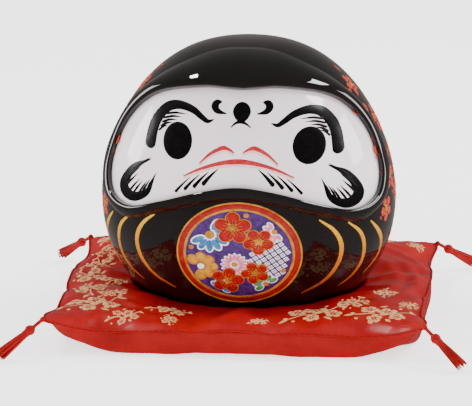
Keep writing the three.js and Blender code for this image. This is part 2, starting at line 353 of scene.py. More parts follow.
class Look:
    """A node material built step by step around one principled shader."""

    def __init__(self, name, **values):
        self.mat = bpy.data.materials.new(name)
        self.mat.use_nodes = True
        self.tree = self.mat.node_tree
        self.shader = self.tree.nodes["Principled BSDF"]
        self.place = self.tree.nodes.new("ShaderNodeTexCoord").outputs["Object"]
        for key, value in values.items():
            self.shader.inputs[key.replace("_", " ")].default_value = value

    def node(self, kind, **values):
        made = self.tree.nodes.new("ShaderNode" + kind)
        for key, value in values.items():
            if key in made.inputs:
                made.inputs[key].default_value = value
            else:
                setattr(made, key, value)
        return made

    def link(self, out, into):
        self.tree.links.new(out, into)

    def noise(self, scale, detail=3.0, rough=0.55, stretch=None, turn=0.0):
        made = self.node("TexNoise", Scale=scale, Detail=detail, Roughness=rough)
        start = self.place
        if stretch:
            mapping = self.node("Mapping")
            mapping.inputs["Scale"].default_value = stretch
            mapping.inputs["Rotation"].default_value = (0, 0, turn)
            self.link(start, mapping.inputs["Vector"])
            start = mapping.outputs["Vector"]
        self.link(start, made.inputs["Vector"])
        return made.outputs["Fac"]

    def math(self, kind, a, b):
        made = self.node("Math", operation=kind)
        for socket, value in zip(made.inputs, (a, b)):
            if isinstance(value, (int, float)):
                socket.default_value = value
            else:
                self.link(value, socket)
        return made.outputs[0]

    def ramp(self, fac, *stops):
        made = self.node("ValToRGB")
        elements = made.color_ramp.elements
        while len(elements) < len(stops):
            elements.new(0.5)
        for element, (at, colour) in zip(elements, stops):
            element.position = at
            element.color = colour
        self.link(fac, made.inputs["Fac"])
        return made.outputs["Color"]

    def colour(self, fac, *stops):
        self.link(self.ramp(fac, *stops), self.shader.inputs["Base Color"])

    def rough(self, fac, low, high):
        made = self.node("MapRange")
        made.inputs["To Min"].default_value = low
        made.inputs["To Max"].default_value = high
        self.link(fac, made.inputs["Value"])
        self.link(made.outputs["Result"], self.shader.inputs["Roughness"])

    def bump(self, height, strength, distance):
        made = self.node("Bump", Strength=strength, Distance=distance)
        self.link(height, made.inputs["Height"])
        self.link(made.outputs["Normal"], self.shader.inputs["Normal"])


def glaze(name, dark, light, spread, rough, ripple):
    """Fired glaze: a glossy coat whose colour and surface drift a little."""
    made = Look(name, Coat_Weight=0.35, Coat_Roughness=0.03, IOR=1.5)
    drift = made.noise(spread, 4)
    made.colour(drift, (0.35, dark), (0.68, light))
    made.rough(made.noise(190, 3), *rough)
    made.bump(made.noise(26, 1), ripple, 0.0006)
    return made.mat


def enamel(name, dark, light, rough=(0.18, 0.34), grain=520.0, shine=0.5):
    """A thin painted enamel that is fired over the glaze."""
    made = Look(name, Coat_Weight=shine / 2, Coat_Roughness=0.08, Specular_IOR_Level=shine)
    fleck = made.noise(grain, 4, 0.6)
    made.colour(fleck, (0.3, dark), (0.7, light))
    made.rough(made.noise(240, 2), *rough)
    made.bump(fleck, 0.12, 0.00008)
    return made.mat


def woven(name, dark, light, pitch, rough, sheen, weave, turn=0.0, creases=0.25, shine=0.3):
    """Cloth with crossed threads, soft creases and a little sheen."""
    made = Look(name, Sheen_Weight=sheen, Sheen_Roughness=0.35, IOR=1.4, Specular_IOR_Level=shine)
    warp = made.noise(1.0, 2, 0.5, (pitch, pitch * 0.12, pitch * 0.12), turn)
    weft = made.noise(1.0, 2, 0.5, (pitch * 0.12, pitch, pitch * 0.12), turn)
    threads = made.math("MAXIMUM", warp, weft)
    slub = made.noise(60, 4, 0.6)
    tone = made.math("ADD", made.math("MULTIPLY", threads, 0.35), made.math("MULTIPLY", slub, 0.65))
    made.colour(tone, (0.25, dark), (0.75, light))
    made.rough(slub, *rough)
    folds = made.noise(85, 3, 0.5)
    fine = made.math("MULTIPLY", threads, weave * 0.1)
    made.bump(made.math("ADD", made.math("MULTIPLY", folds, creases), fine), 0.55, 0.0012)
    return made.mat


def gilt(name, metal, roughest, shade):
    """Fired gold, whose colour shade() puts on."""
    made = Look(name, Metallic=metal, Coat_Weight=0.3, Coat_Roughness=0.1)
    shade(made)
    made.rough(made.noise(300, 3), 0.2, roughest)
    made.bump(made.noise(620, 3), 0.2, 0.00008)
    return made.mat


def flecked(made):
    made.colour(made.noise(230, 4, 0.6), (0.3, linear(196, 112, 26)), (0.7, linear(248, 184, 62)))


def redder_below(made):
    """Yellow at the top of a rib, running down into orange and brown."""
    place = made.node("SeparateXYZ")
    made.link(made.place, place.inputs[0])
    rise = made.math("MULTIPLY", place.outputs["Z"], 14.0)
    rise = made.math("ADD", rise, made.math("MULTIPLY", made.noise(160, 4), 0.12))
    orange = (0.28, linear(150, 44, 4)), (0.4, linear(206, 96, 2))
    yellow = (0.56, linear(232, 142, 4)), (0.74, linear(248, 190, 20))
    made.colour(rise, *orange, *yellow)


black_glaze = glaze("black_glaze", linear(6, 4, 4), linear(19, 13, 12), 45.0, (0.02, 0.05), 0.03)
white_glaze = glaze("white_glaze", linear(240, 224, 229), linear(252, 240, 244), 30.0, (0.06, 0.13), 0.03)
bare_clay = enamel("bare_clay", linear(176, 160, 142), linear(214, 200, 182), (0.7, 0.9), 260)
brush_black = enamel("brush_black", linear(4, 3, 4), linear(12, 9, 10), rough=(0.2, 0.34), shine=0.12)
mouth_red = enamel("mouth_red", linear(150, 22, 30), linear(190, 44, 52))
mouth_pink = enamel("mouth_pink", linear(236, 168, 168), linear(248, 198, 196))
gold_enamel = gilt("gold_enamel", 0.55, 0.4, flecked)
rib_gold = gilt("rib_gold", 0.35, 0.38, redder_below)
bloom_red = enamel("bloom_red", linear(140, 16, 8), linear(208, 66, 36), grain=900)
ring_red = enamel("ring_red", linear(124, 6, 4), linear(164, 20, 12), shine=0.3)
plum_red = enamel("plum_red", linear(128, 0, 0), linear(172, 6, 4), shine=0.3)
med_purple = enamel("med_purple", linear(42, 14, 70), linear(80, 38, 116))
med_blue = enamel("med_blue", linear(24, 74, 132), linear(70, 130, 176))
med_pink = enamel("med_pink", linear(196, 84, 120), linear(232, 138, 160))
med_ochre = enamel("med_ochre", linear(168, 104, 22), linear(214, 152, 50))
med_green = enamel("med_green", linear(40, 110, 60), linear(90, 160, 92))
med_white = enamel("med_white", linear(226, 220, 228), linear(248, 244, 248))
stopper_grey = enamel("stopper_grey", linear(182, 178, 170), linear(214, 210, 202), (0.45, 0.7), 180)

# ---- The doll's body ---------------------------------------------------------------------------

# Half of the face's edge and of the line where its raised brim ends, matched point for point.
FACE_HALF = [
    (0, 92.6), (15, 93.0), (31, 90.0), (41, 84.2), (48.6, 75), (53.2, 64), (54.6, 55),
    (52.2, 47.8), (44.2, 45.4), (30.5, 49.5), (15, 54.3), (0, 56.6),
]
BRIM_HALF = [
    (0, 106.3), (15, 104.3), (32.2, 96.2), (44.0, 85.6), (51.2, 74.2), (55.6, 63.6), (57.5, 53.6),
    (56.2, 45.2), (47, 39.8), (31.6, 44.2), (15.6, 49.2), (0, 51.6),
]
MIDDLE = np.array([0.0, 71.0])


def both_halves(half):
    """A closed outline from its right half, mirrored to the left."""
    half = np.asarray(half, float)
    return np.concatenate([half, half[-2:0:-1] * [-1, 1]])


def matched(half, count):
    """A closed smooth outline with the same number of points between each pair of control points."""
    pts = both_halves(half)
    n = len(pts)
    per = count // n
    t = (np.arange(per) / per)[:, None]
    line = []
    for i in range(n):
        a, b, c, d = (pts[(i + k) % n] for k in (-1, 0, 1, 2))
        line.append(spline(a, b, c, d, t))
    return np.concatenate(line)


RIM_POINTS = 22 * 14
face_edge = matched(FACE_HALF, RIM_POINTS)
brim_edge = matched(BRIM_HALF, RIM_POINTS)


def inside(points, line):
    """Which (x, h) points lie inside a closed line."""
    x, h = points[:, 0][:, None], points[:, 1][:, None]
    x1, h1 = line[:, 0][None], line[:, 1][None]
    x2, h2 = np.roll(line[:, 0], -1)[None], np.roll(line[:, 1], -1)[None]
    crosses = (h1 > h) != (h2 > h)
    at = (x2 - x1) * (h - h1) / np.where(h2 == h1, 1e-9, h2 - h1) + x1
    return (crosses & (x < at)).sum(axis=1) % 2 == 1


FOOT_OUTER, FOOT_INNER, RECESS, HOLE = 35.0, 27.0, 1.5, 10.0


def build_body():
    """The hollow casting with its foot ring, its pocket behind the face and its open casting hole."""
    steps = 320
    rows = 190
    lift = np.linspace(0, 1, rows)
    heights = 2.4 + (TALL - 2.4) * (1 - (1 - lift) ** 1.6)
    outer = [(float(radius_at(h)), h) for h in heights[:-1]] + [(0.25, TALL)]
    foot = [
        (HOLE, WALL + RECESS), (HOLE, RECESS + 0.7), (HOLE + 0.7, RECESS), (FOOT_INNER - 1.4, RECESS),
        (FOOT_INNER - 0.3, RECESS - 0.5), (FOOT_INNER + 0.4, 0.25), (FOOT_INNER + 1.2, 0),
        (FOOT_OUTER - 2, 0), (FOOT_OUTER - 0.7, 0.35), (FOOT_OUTER + 0.4, 1.2), (FOOT_OUTER + 2, 2.0),
    ]
    inner = []
    for h in heights[::-3][:-4]:
        reach = float(radius_at(min(max(h, 8), TALL)))
        inner.append((max(reach - WALL * 1.15, 0.25), min(h, TALL - WALL)))
    inner = [p for p in inner if p[1] < TALL - WALL - 0.2 and p[1] > 9.5]
    inner += [(31, 7.2), (26, WALL + RECESS)]
    profile = np.array(inner + foot + outer[:-1])
    t = np.linspace(0, TURN, steps, endpoint=False)
    x = profile[:, :1] * np.sin(t)
    y = -DEPTH * profile[:, :1] * np.cos(t)
    h = np.repeat(profile[:, 1:], steps, axis=1)
    points = np.stack([x, y, h + FOOT], -1) * MM
    rows_outer = slice(len(inner) + len(foot), len(profile))
    ox, oy, oh = x[rows_outer].ravel(), y[rows_outer].ravel(), h[rows_outer].ravel()
    line = face_edge + (brim_edge - face_edge) * 0.45
    behind = inside(np.stack([ox, oh], -1), line) & (oy < 0)
    sunk = lifted(ox, oy, oh, np.where(behind, -POCKET, 0.0))
    points[rows_outer] = sunk.reshape(-1, steps, 3)
    faces = grid_faces(len(profile), steps, wrap_columns=True)
    looks = np.zeros(len(profile) - 1, int)
    looks[: len(inner) - 1] = 2
    looks[len(inner) - 1 : len(inner) + len(foot) - 1] = 1
    looks = np.repeat(looks, steps).tolist()
    poles = np.array([[0, 0, TALL - WALL + FOOT], [0, 0, TALL + FOOT]]) * MM
    points = np.concatenate([points.reshape(-1, 3), poles])
    under_pole = len(points) - 2
    last = (len(profile) - 1) * steps
    faces += [(under_pole, (j + 1) % steps, j) for j in range(steps)]
    faces += [(under_pole + 1, last + j, last + (j + 1) % steps) for j in range(steps)]
    looks += [2] * steps + [0] * steps
    mats = [black_glaze, bare_clay, white_glaze]
    add_mesh("doll_body", points, faces, "doll", mats, "doll_shell", looks)


def build_brim():
    """The raised brim of the hood: a rounded lip over the face that falls away to a crease."""
    span = brim_edge - face_edge
    width = np.linalg.norm(span, axis=1, keepdims=True)
    along = span / width
    over_brow = np.clip((face_edge[:, 1] - 70) / 22, 0, 1) ** 1.2
    peak = 1.9 + 0.9 * over_brow
    section = []
    for share, out in [(1.5, -3.4), (0.75, -1.9), (0.28, -1.1)]:
        section.append((face_edge + along * share, np.full(len(span), out)))
    lip = 1.5
    for angle in np.radians(np.linspace(-15, 90, 9)):
        rise = -0.35 + (peak + 0.35) * (0.5 + 0.5 * math.sin(angle))
        section.append((face_edge + along * lip * (1 - math.cos(angle)), rise))
    reach = np.maximum(width - lip, 0.8)
    for t in np.linspace(0.06, 1, 15):
        fall = peak * (1 - t**2.1)
        section.append((face_edge + along * (lip + reach * t), fall - 0.02 * t))
    section.append((brim_edge - along * 0.3, np.full(len(span), -1.4)))
    rows = [front(p[:, 0], p[:, 1], out) for p, out in section]
    points = np.stack(rows)
    faces = grid_faces(len(rows), len(span), wrap_rows=True, wrap_columns=True)
    add_mesh("doll_hood_brim", points.reshape(-1, 3), faces, "doll", black_glaze)


def build_face():
    """The pale face, a smooth slab that runs out under the brim's lip."""
    rings = 52
    grown = face_edge + (face_edge - MIDDLE) / np.linalg.norm(face_edge - MIDDLE, axis=1, keepdims=True) * 0.9
    n = len(grown)
    shares = np.linspace(0, 1, rings + 1)[1:]
    tops = [front(*(MIDDLE + (grown - MIDDLE) * s).T, FACE_OUT) for s in shares]
    unders = [front(*(MIDDLE + (grown - MIDDLE) * s).T, FACE_OUT - 1.2) for s in (1.0, 0.5)]
    centre_top = front(*MIDDLE, FACE_OUT)[None]
    centre_under = front(*MIDDLE, FACE_OUT - 1.2)[None]
    points = np.concatenate([centre_top, *tops, *unders, centre_under])
    faces = [(0, 1 + j, 1 + (j + 1) % n) for j in range(n)]
    for i in range(rings + 1):
        for j in range(n):
            a, b = 1 + i * n + j, 1 + i * n + (j + 1) % n
            faces.append((a, b, b + n, a + n))
    last = 1 + (rings + 1) * n
    faces += [(last + j, last + n, last + (j + 1) % n) for j in range(n)]
    add_mesh("doll_face", points, faces, "doll", white_glaze, "face_panel")


build_body()
build_brim()
build_face()

# ---- The painted face --------------------------------------------------------------------------

ink = Pile()


def ink_stroke(*points):
    stroke(ink, points, front, FACE_OUT)


def ink_line(points, thick_at=0.5, widest=1.0, ends=(0.2, 0.2)):
    """A stroke whose width swells between its two ends."""
    pts = np.asarray(points, float)
    share = np.linspace(0, 1, len(pts))
    swell = np.where(share < thick_at, share / thick_at, (1 - share) / max(1 - thick_at, 1e-6))
    end = ends[0] + (ends[1] - ends[0]) * share
    width = end + (widest - end) * np.clip(swell, 0, 1) ** 0.7
    stroke(ink, np.column_stack([pts, width]), front, FACE_OUT)


BROW = [(11.5, 81.5), (14, 80.7), (16.5, 82), (20.5, 84.5), (26, 85.7), (31, 84.5), (35, 80.5),
    (37, 76), (38, 70.5)]
BROW_HAIRS = 5


def drawn(side, points):
    """Brush points on one side; the painter's hand sat a little to the right, and lower there."""
    return [(side * x + 1.1, h - side * 0.6) for x, h in points]


def eyebrow(side):
    """A heavy curled brow with brush hairs along the inside of its curl."""
    line = drawn(side, BROW)
    share = np.linspace(0, 1, len(line))
    ink_stroke(*np.column_stack([line, 0.3 + 4.4 * share**0.6]))
    for k in range(BROW_HAIRS):
        root, tip = (32.2 + 0.6 * k, 81.8 - 1.6 * k), (22.8 + 2.0 * k, 82.6 - 1.2 * k)
        bend = ((root[0] + tip[0]) / 2, (root[1] + tip[1]) / 2 + 0.5)
        ink_line(drawn(side, (root, bend, tip)), 0.2, 1.0, (0.8, 0.1))
    disc(ink, *line[-1], 4.7, 4.7, front, FACE_OUT, lift=0.078, count=28)


BEARD = [(-5, 8), (2, 4), (6.5, -2.5), (6, -6.5), (2, -7.8), (-3.5, -5), (-6.5, 0.5)]
BEARD_HAIRS = 11


def cheek_beard(side, middle_x, middle_h):
    """A crescent whose inside edge is drawn out into brush hairs."""
    line = [(side * (middle_x + x), middle_h + h) for x, h in BEARD]
    ink_line(line, 0.5, 4.9, (0.3, 0.5))
    fine = curve_through(line, 60)
    for k in range(BEARD_HAIRS):
        share = k / (BEARD_HAIRS - 1)
        tip = fine[int(16 + 36 * share)]
        angle = math.radians(-36 - 30 * share)
        root = tip - (10.5 - 3.0 * share) * np.array([side * math.cos(angle), math.sin(angle)])
        ink_line([root, (root + tip) / 2 + (0, 0.3), tip], 0.75, 1.0, (0.1, 0.8))


def chin_whiskers(side):
    """Four whiskers, thin above and thick below."""
    for k in range(4):
        x, h, widest = 8 + 3.8 * k, 63.7 - 1.3 * k, 1.8 - 0.2 * k
        low = (side * (x + 5.8), h - 5.9)
        stroke(
            ink, [(side * x, h, 0.25), (side * (x + 3.0), h - 2.8, widest * 0.62), (*low, widest)],
            front, FACE_OUT
        )
        disc(ink, *low, widest * 1.02, widest * 1.1, front, FACE_OUT, lift=0.07, count=14)


for side in (-1, 1):
    eyebrow(side)
    chin_whiskers(side)
    curl = [(6, 84.4, 0.3), (8, 84.7, 1.2), (10, 85.4, 2.4), (11, 87, 3.2), (10, 88.3, 2.4), (8.3, 88.6, 0.5)]
    ink_stroke(*[(side * x + 0.7, h, w) for x, h, w in curl])
cheek_beard(-1, 41.4, 56.8)
cheek_beard(1, 40.4, 55.8)
disc(ink, -25.2, 73.1, 12.2, 14.2, front, FACE_OUT, lean=-0.16, count=44)
disc(ink, 27.8, 71.9, 13.0, 14.2, front, FACE_OUT, lean=0.2, count=44)
disc(ink, 0.7, 85.0, 7.3, 7.6, front, FACE_OUT, point=0.22, count=32)
ink_line([(-3.5, 79.3), (-1.8, 80.9), (0.4, 81.5), (2.6, 80.8), (4.6, 79.3)], 0.5, 1.3, (0.3, 0.3))
ink.build("face_brushwork", "doll", brush_black)

mouth = Pile()
PINK_DROP = 0.85
LIP = [(1.7, 69.9), (4.0, 71.2), (6.7, 71.6), (11.5, 69.2), (15.8, 65.4)]
MOUTH_HALF = [(5.5, 66.1), (11, 64.8), (16.5, 62.8), (22.3, 60)]


def mouth_stroke(line, widest, thick_at=0.5):
    """A red stroke over a softer pink one."""
    for drop, spread, rise, look in ((PINK_DROP, 0.25, 0.05, 1), (0, 0, 0.1, 0)):
        share = np.linspace(0, 1, len(line))
        swell = np.where(share < thick_at, share / thick_at, (1 - share) / (1 - thick_at))
        width = 0.45 + spread + (widest - 0.45) * swell**0.8
        points = [(x, h - drop, w) for (x, h), w in zip(line, width)]
        stroke(mouth, points, front, FACE_OUT, rise, 0.06, look)


for side in (-1, 1):
    mouth_stroke([(side * x, h) for x, h in LIP], 1.7)
mouth_stroke([(-x, h) for x, h in reversed(MOUTH_HALF)] + [(0, 66.6)] + MOUTH_HALF, 2.1)
mouth.build("face_mouth", "doll", [mouth_red, mouth_pink])

# ---- Gold ribs and side blossoms ---------------------------------------------------------------

ribs = Pile()
RIBS = [
    [(32.5, 43.5), (38.5, 38), (41, 31), (39, 23), (33.5, 16.5), (25, 12)],
    [(43.5, 41), (48, 36), (49.5, 29.5), (48, 22), (44, 16.5), (39, 13)],
    [(52, 39.5), (54.5, 35), (55.7, 29.5), (54, 22.5), (48.5, 16)],
]


def belted(run, h, out=0.0):
    """Points at a length round the doll's widest circle, from its front."""
    return around(np.degrees(np.asarray(run, float) / RADIUS), h, out)


def rib_width(share):
    return 0.35 + 2.0 * np.sin(np.pi * np.clip(share, 0.02, 0.98)) ** 0.8


for line in RIBS:
    for side in (-1, 1):
        # Drawn by hand, so a little to the left, and lower on the right.
        spots = [(side * x - 0.7, h - side * 0.7) for x, h in line]
        run = [RADIUS * math.asin(x / float(radius_at(h))) for x, h in spots]
        width = rib_width(np.linspace(0, 1, len(line)))
        stroke(ribs, np.column_stack([run, [h for _, h in spots], width]), belted, 0.0, 0.12, 0.1)
# The same ribs go on round the back.
for turn in (96, 117, 138, 159, 180, -159, -138, -117, -96):
    bow = 4.5 if turn > 0 else -4.5
    bow = 0 if turn == 180 else bow
    share = np.linspace(0, 1, 6)
    width = rib_width(share)
    a = turn + bow * np.sin(np.pi * share) - np.sign(bow) * 3 * share
    h = 42 - 29 * share
    place = patch(turn, 27)
    stroke(ribs, np.column_stack([np.radians(a - turn) * RADIUS, h - 27, width]), place, 0.0, 0.12, 0.1)
ribs.build("gold_ribs", "doll", rib_gold)


def plum_blossom(pile, place, size, base=0.0, lean=0.0, look=0, heart=None, lift=0.1):
    """Five round petals that almost touch, with a ring of stamens."""
    for k in range(5):
        t = lean + TURN * k / 5
        disc(
            pile, 0.6 * size * math.cos(t), 0.6 * size * math.sin(t), size * 0.66, size * 0.62, place,
            base, lift, 0.08,
            look, lean=t, count=16,
        )
    if heart is not None:
        disc(pile, 0, 0, size * 0.5, size * 0.5, place, base, lift + 0.05, 0.08, heart, count=14)
        for k in range(10):
            t = lean + TURN * (k + 0.5) / 10
            reach = size * (0.62 if k % 2 else 0.52)
            disc(
                pile, reach * math.cos(t), reach * math.sin(t), size * 0.09, size * 0.09, place, base,
                lift + 0.05,
                0.08, heart, count=7,
            )


side_blooms = Pile()
SIDE_BLOOMS = [
    (74.5, 80.0, 6.6, 0.3), (75.5, 67.0, 7.2, 1.0), (79, 54.5, 7.0, 0.2), (72, 41.6, 5.8, 0.9),
    (89, 76, 6.8, 0.5),
    (93, 61, 6.8, 1.2), (87, 46.5, 5.8, 0.4), (82, 90, 5.6, 0.7), (108, 72, 6.0, 0.2),
]
for turn, height, size, lean in SIDE_BLOOMS:
    for side in (1, -1):
        place = patch(side * turn, height)
        plum_blossom(side_blooms, place, size, 0.0, lean * side, 0, 1)
        for k in range(2):
            t = lean + 2.2 * k + 0.7
            x, h = size * 1.12 * math.cos(t), size * 1.12 * math.sin(t)
            stroke(side_blooms, [(x, h, 0.3), (x * 1.12 + 0.6, h * 1.1 + 1.1, 1.3),
                (x * 1.3, h * 1.22 + 2.4, 0.3)],
                   place, 0.0, 0.1, 0.08, 0)
# Four blossoms on the back of the hood.
for turn, height, size, lean in ((180, 74, 9.0, 0.3), (157, 64, 6.6, 0.8), (-156, 65, 6.8, 0.1),
        (178, 58, 5.2, 0.6)):
    plum_blossom(side_blooms, patch(turn, height), size, 0.0, lean, 0, 1)
side_blooms.build("side_blossoms", "doll", [bloom_red, gold_enamel])

# ---- The belly medallion -----------------------------------------------------------------------

med_low, med_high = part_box("belly_medallion")
MED_X = 0.4
MED_WIDE = (med_high.x - med_low.x) / MM
MED_FOOT, MED_TOP = med_low.z / MM - FOOT, med_high.z / MM - FOOT
MED_H, MED_TALL = (MED_TOP + MED_FOOT) / 2, MED_TOP - MED_FOOT


def on_medallion(a, b, out=0.0):
    """The roundel's own drawing plane, a disc of radius 25 laid on the belly."""
    return front(MED_X + np.asarray(a) * MED_WIDE / 50, MED_H + np.asarray(b) * MED_TALL / 50, out)


def ring_band(pile, inner, outer, base, lift, look, count=120):
    """A flat round band."""
    t = np.linspace(0, TURN, count, endpoint=False)
    spots = [(inner, -0.1), (inner, lift * 0.5), (inner + 0.12, lift), ((inner + outer) / 2, lift),
        (outer - 0.12, lift),
             (outer, lift * 0.5), (outer, -0.1)]
    rows = [on_medallion(r * np.cos(t), r * np.sin(t), base + up) for r, up in spots]
    pile.add(np.concatenate(rows), grid_faces(len(rows), count, wrap_rows=True, wrap_columns=True), look)


PURPLE, BLUE, PINK, OCHRE, GREEN, WHITE, RED, GOLD, RING = range(9)
med_mats = [med_purple, med_blue, med_pink, med_ochre, med_green, med_white, plum_red, gold_enamel, ring_red]
badge = Pile()
t = np.linspace(0, TURN, 96, endpoint=False)
blob(badge, np.stack([24.6 * np.cos(t), 24.6 * np.sin(t)], -1), on_medallion, 0.0, 0.14, 0.1, PURPLE,
    96, 1.1, False)
ring_band(badge, 24.3, 25.0, 0.1, 0.22, GOLD)
ring_band(badge, 22.2, 24.25, 0.1, 0.16, RING)
ring_band(badge, 21.1, 22.15, 0.1, 0.22, GOLD)
GROUND = 0.14
FIELD = 20.8


def keep_in(x, h, reach):
    """True where a motif of that reach stays inside the field."""
    return math.hypot(x, h) + reach < FIELD


# White paving lattice on the purple ground.
tilt = math.radians(33)
pitch = 2.4
for i in range(-9, 10):
    for j in range(-9, 10):
        x = pitch * (i * math.cos(tilt) - j * math.sin(tilt))
        h = pitch * (i * math.sin(tilt) + j * math.cos(tilt))
        if not keep_in(x, h, 1.2) or x < 4.5 or h < -13 or h > 8:
            continue
        corner = [(math.cos(tilt + math.pi / 4 + k * math.pi / 2),
            math.sin(tilt + math.pi / 4 + k * math.pi / 2))
                  for k in range(4)]
        for reach, look, up in ((1.25, WHITE, 0.05), (0.72, PURPLE, 0.08), (0.36, WHITE, 0.11)):
            square = np.array([(x + reach * c, h + reach * s) for c, s in corner])
            ring = np.concatenate([np.linspace(square[k], square[(k + 1) % 4], 3,
                endpoint=False) for k in range(4)])
            blob(badge, ring, on_medallion, GROUND, up, 0.04, look, 12, 2.0, False)


def many_petals(x, h, reach, count, look, edge=WHITE, heart=GOLD, start=0.0, stop=TURN):
    """A chrysanthemum: long petals round a small heart, each with a pale edge."""
    for k in range(count):
        t = start + (stop - start) * k / count
        wide = 2 * math.pi * reach / count * 0.82 * (stop - start) / TURN
        px, ph = x + reach * 0.62 * math.cos(t), h + reach * 0.62 * math.sin(t)
        if math.hypot(px, ph) + reach * 0.38 > FIELD + 0.5:
            continue
        disc(badge, px, ph, reach * 0.8, wide * 1.1, on_medallion, GROUND, 0.13, 0.04, edge, lean=t, count=14)
        disc(badge, px, ph, reach * 0.68, wide * 0.78, on_medallion, GROUND, 0.17, 0.04, look, lean=t,
            count=14)
    disc(badge, x, h, reach * 0.42, reach * 0.42, on_medallion, GROUND, 0.2, 0.04, heart, count=16)


many_petals(-11.4, 9.6, 8.6, 12, BLUE)
many_petals(-15.2, -6.2, 7.0, 8, OCHRE, edge=GOLD, heart=WHITE)
many_petals(-1.6, -4.6, 5.6, 16, PINK)
many_petals(10.6, -14.6, 5.4, 10, GREEN, edge=WHITE)
many_petals(14.2, 11.2, 5.2, 12, PINK)
many_petals(-7.6, -16.6, 4.6, 10, BLUE)
for x, h in ((-19, 3), (3.2, 19), (19, 4.4), (17.4, -8), (-2.6, -19.4), (9, 17.4)):
    if keep_in(x, h, 1.4):
        disc(badge, x, h, 2.2, 2.2, on_medallion, GROUND, 0.12, 0.04, GOLD, count=14)


def red_plum(x, h, size, lean):
    """A big red plum blossom outlined in gold, with gold stamens."""
    for look, grow, up in ((GOLD, 0.34, 0.22), (RED, 0.0, 0.3)):
        for k in range(5):
            t = lean + TURN * k / 5
            disc(
                badge, x + 0.58 * size * math.cos(t), h + 0.58 * size * math.sin(t), size * 0.74 + 2 * grow,
                size * 0.7 + 2 * grow, on_medallion, GROUND, up, 0.04, look, lean=t, count=20,
            )
    disc(badge, x, h, size * 0.34, size * 0.34, on_medallion, GROUND, 0.36, 0.04, GOLD, count=14)
    for k in range(15):
        t = lean + TURN * k / 15
        reach = size * (0.46, 0.66, 0.46)[k % 3]
        px, ph = x + reach * math.cos(t), h + reach * math.sin(t)
        stroke(badge, [(x + 0.2 * size * math.cos(t), h + 0.2 * size * math.sin(t), 0.16), (px, ph, 0.16)],
               on_medallion, GROUND, 0.34, 0.04, GOLD)
        disc(badge, px, ph, 0.5, 0.5, on_medallion, GROUND, 0.37, 0.04, GOLD, count=8)


red_plum(-2.2, 13.0, 7.8, 0.3)
red_plum(8.0, 6.6, 6.4, 0.9)
red_plum(-4.6, -12.6, 6.8, 0.1)
red_plum(6.4, -8.8, 5.8, 0.7)
badge.build("belly_medallion_art", "doll", med_mats, "belly_medallion")

# ---- The stopper in the foot -------------------------------------------------------------------

stop_low, stop_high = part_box("base_stopper")
plug = Pile()
head = (stop_high.x - stop_low.x) / 2 / MM
squeeze = (stop_high.y - stop_low.y) / (stop_high.x - stop_low.x)
z0, z1 = stop_low.z / MM, stop_high.z / MM
shank = HOLE - 0.3
lathe(
    plug,
    [(0, z0 + 0.35), (3.4, z0 + 0.35), (3.9, z0 + 0.1), (4.6, z0 + 0.1), (5.1, z0 + 0.35),
    (head - 2.6, z0 + 0.3),
     (head - 1.9, z0 + 0.02), (head - 0.6, z0), (head - 0.1, z0 + 0.25), (head, z0 + 0.6),
     (head - 0.15, z0 + 0.95),
     (shank + 0.4, z0 + 1), (shank - 0.1, z0 + 1.3), (shank - 0.1, z0 + 3), (shank - 0.5, z0 + 3.3),
     (shank - 0.5, z0 + 4.1), (shank - 0.1, z0 + 4.4), (shank - 0.1, z0 + 6), (shank - 0.5, z1 - 0.8),
     (shank - 1.2, z1 - 0.1), (shank - 2, z1), (shank - 3, z1 - 0.6), (5, z1 - 2.4), (0, z1 - 2.4)],
    64,
    squeeze,
)
grip = [(x, 0, z0 + 0.28 + 0.5 * (1 - (x / 3.2) ** 2)) for x in np.linspace(-3.2, 3.2, 14)]
plug.add(*rope(np.array(grip) * MM, 0.55 * MM, 10))
plug.build("foot_stopper", "stopper", stopper_grey, "base_stopper")

# ---- The cushion -------------------------------------------------------------------------------

top_low, top_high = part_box("cushion_top_panel")
HALF = (top_high.x - top_low.x) / 2 / MM
SEAM = 14.0
EDGE_PULL = 1.6
FRONT_SAG, SIDE_SAG = 4.4, 1.2  # how far the seam sinks between the corners
START_PUFF = 1.2
CORNER_TAPER, CORNER_ROUND = 11.0, 24.0
FABRIC = 0.9
SEAT_GAP = 0.3
CELLS = 64
SIM_SCALE = 4.0  # the cloth solver behaves best on things the size of a chair pad
SIM_FRAMES = 14


def doll_limit(x, y):
    """How high the cushion may reach under and beside the doll, in millimetres."""
    reach = np.hypot(x, y / DEPTH)
    rise = lower_height(np.maximum(reach - 0.9, 0))
    return FOOT - SEAT_GAP + np.where(reach < FOOT_OUTER + 3.4, 0, np.maximum(rise, 0))


